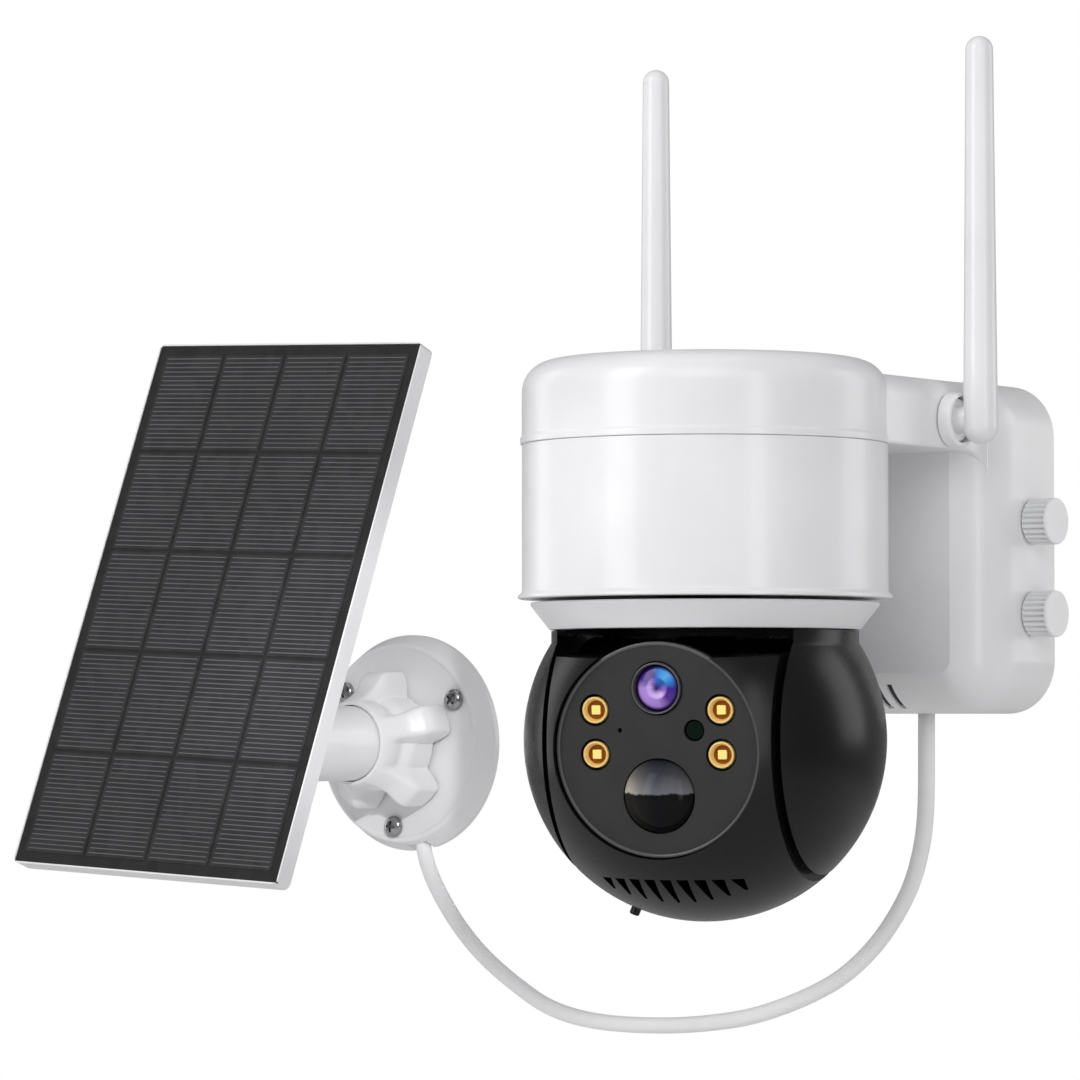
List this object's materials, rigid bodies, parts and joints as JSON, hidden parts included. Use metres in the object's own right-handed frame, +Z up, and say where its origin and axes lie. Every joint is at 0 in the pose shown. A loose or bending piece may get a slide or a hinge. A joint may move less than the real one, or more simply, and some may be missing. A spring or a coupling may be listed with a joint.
{
  "type": "solar security camera",
  "caption": "Pan-and-tilt dome camera under a wall box with swivel antennas, wired by a hanging cable to a tilting solar panel on a round wall bracket.",
  "frame": {"origin": "middle of the back face of the camera's wall plate, on the wall", "axes": "+Y into the wall, +Z up, +X to the right for someone facing the wall"},
  "size_m": [0.2797, 0.1425, 0.2632],
  "materials": {
    "white_shell": "white moulded plastic, low gloss",
    "collar_grey": "light grey moulded plastic",
    "black_shell": "black satin plastic",
    "face_black": "dark grey matt plastic",
    "inner_grey": "moulded inner frame",
    "plate_steel": "plain pressed steel",
    "motor_steel": "plated steel",
    "screw_steel": "bright plated screw",
    "gear_plastic": "natural acetal",
    "circuit_board": "solder mask",
    "cell_wrap": "heat-shrink wrap",
    "lens_glass": "coated glass",
    "sensor_dome": "glossy black dome",
    "sensor_window": "dark green window",
    "led_cup": "warm plated reflector",
    "solar_cells": "laminated cells",
    "cable_jacket": "light grey jacket",
    "black_rubber": "moulded rubber"
  },
  "bodies": {
    "wall_unit": {"wall_plate": "plate_steel", "main_housing": "white_shell", "drum_barrel": "white_shell", "rear_cover": "inner_grey", "battery_cell_1": "cell_wrap", "battery_cell_2": "cell_wrap", "battery_cell_3": "cell_wrap", "battery_cell_4": "cell_wrap", "charge_board": "circuit_board", "speaker": "black_shell", "cable_grommet": "black_rubber", "pan_bearing": "motor_steel", "chassis_plate": "inner_grey", "pan_motor": "motor_steel", "main_board": "circuit_board", "antenna_socket_left": "white_shell", "antenna_socket_right": "white_shell", "base_plate": "white_shell", "base_screw_1": "screw_steel", "base_screw_2": "screw_steel", "base_screw_3": "screw_steel", "cable": "cable_jacket"},
    "antenna_left": {"antenna_left": "white_shell"},
    "antenna_right": {"antenna_right": "white_shell"},
    "thumb_screw_upper": {"thumb_screw_upper": "white_shell"},
    "thumb_screw_lower": {"thumb_screw_lower": "white_shell"},
    "pan_pinion": {"pan_pinion": "gear_plastic"},
    "pan_head": {"turntable_collar": "collar_grey", "yoke": "black_shell", "ear_plate_left": "black_shell", "ear_plate_right": "black_shell", "tilt_axle_left": "motor_steel", "tilt_axle_right": "motor_steel", "pan_gear": "gear_plastic", "tilt_gear": "gear_plastic"},
    "tilt_head": {"head_front_shell": "black_shell", "head_rear_shell": "black_shell", "face_plate": "face_black", "lens_barrel": "black_shell", "lens_glass": "lens_glass", "led_reflector_1": "led_cup", "led_reflector_2": "led_cup", "led_reflector_3": "led_cup", "led_reflector_4": "led_cup", "led_board": "circuit_board", "pir_dome": "sensor_dome", "light_sensor_window": "sensor_window", "camera_board": "circuit_board", "tilt_motor": "motor_steel"},
    "tilt_pinion": {"tilt_pinion": "gear_plastic"},
    "reset_button": {"reset_button": "black_shell"},
    "star_knob": {"star_knob": "white_shell"},
    "panel_arm": {"arm_tube": "white_shell", "hinge_bolt": "screw_steel"},
    "hinge_nut": {"hinge_nut": "white_shell"},
    "solar_panel": {"panel_frame": "white_shell", "solar_laminate": "solar_cells", "junction_box": "black_shell", "panel_bracket": "white_shell"}
  },
  "joints": [
    {"name": "head_pan", "type": "hinge", "parent": "wall_unit", "child": "pan_head", "pos_m": [0, -0.095, -0.05], "axis": [0, 0, 1], "range_deg": [-193.1, 161.9]},
    {"name": "head_tilt", "type": "hinge", "parent": "pan_head", "child": "tilt_head", "pos_m": [0, -0.095, -0.05], "axis": [0.9632, 0.2689, 0], "range_deg": [-3.8, 86]},
    {"name": "pan_pinion_spin", "type": "hinge", "parent": "wall_unit", "child": "pan_pinion", "pos_m": [0.0224, -0.095, -0.0077], "axis": [0, 0, 1], "range_deg": [-490, 584]},
    {"name": "tilt_pinion_spin", "type": "hinge", "parent": "tilt_head", "child": "tilt_pinion", "pos_m": [0.01384, -0.07691, -0.05826], "axis": [0.9632, 0.2689, 0], "range_deg": [-12, 260]},
    {"name": "reset_press", "type": "slide", "parent": "tilt_head", "child": "reset_button", "axis": [0.3443, 0.1655, 0.9241], "range_m": [0, 0.001], "stiffness_N_per_m": 400, "springref_m": -0.0005},
    {"name": "antenna_left_fold", "type": "hinge", "parent": "wall_unit", "child": "antenna_left", "pos_m": [-0.0514, -0.0446, 0.032], "axis": [1, 0, 0], "range_deg": [-24, 90]},
    {"name": "antenna_right_fold", "type": "hinge", "parent": "wall_unit", "child": "antenna_right", "pos_m": [0.0514, -0.0446, 0.032], "axis": [1, 0, 0], "range_deg": [-24, 90]},
    {"name": "thumb_screw_upper_turn", "type": "hinge", "parent": "wall_unit", "child": "thumb_screw_upper", "pos_m": [0.047, -0.0122, 0.0068], "axis": [1, 0, 0], "range_deg": [0, 720]},
    {"name": "thumb_screw_lower_turn", "type": "hinge", "parent": "wall_unit", "child": "thumb_screw_lower", "pos_m": [0.047, -0.0122, -0.0174], "axis": [1, 0, 0], "range_deg": [0, 720]},
    {"name": "star_knob_turn", "type": "hinge", "parent": "wall_unit", "child": "star_knob", "pos_m": [-0.17, 0, -0.052], "axis": [0, 1, 0], "range_deg": [0, 360]},
    {"name": "arm_swivel", "type": "hinge", "parent": "wall_unit", "child": "panel_arm", "pos_m": [-0.17, 0, -0.052], "axis": [0, 1, 0], "range_deg": [-90, 45]},
    {"name": "panel_tilt", "type": "hinge", "parent": "panel_arm", "child": "solar_panel", "pos_m": [-0.17, -0.079, -0.052], "axis": [0.9991, 0, -0.0419], "range_deg": [-24, 20]},
    {"name": "hinge_nut_turn", "type": "hinge", "parent": "panel_arm", "child": "hinge_nut", "pos_m": [-0.15861, -0.079, -0.05248], "axis": [0.9991, 0, -0.0419], "range_deg": [0, 360]}
  ],
  "couplings": [
    {"joint": "pan_pinion_spin", "follows": "head_pan", "ratio": -3},
    {"joint": "tilt_pinion_spin", "follows": "head_tilt", "ratio": 3}
  ]
}
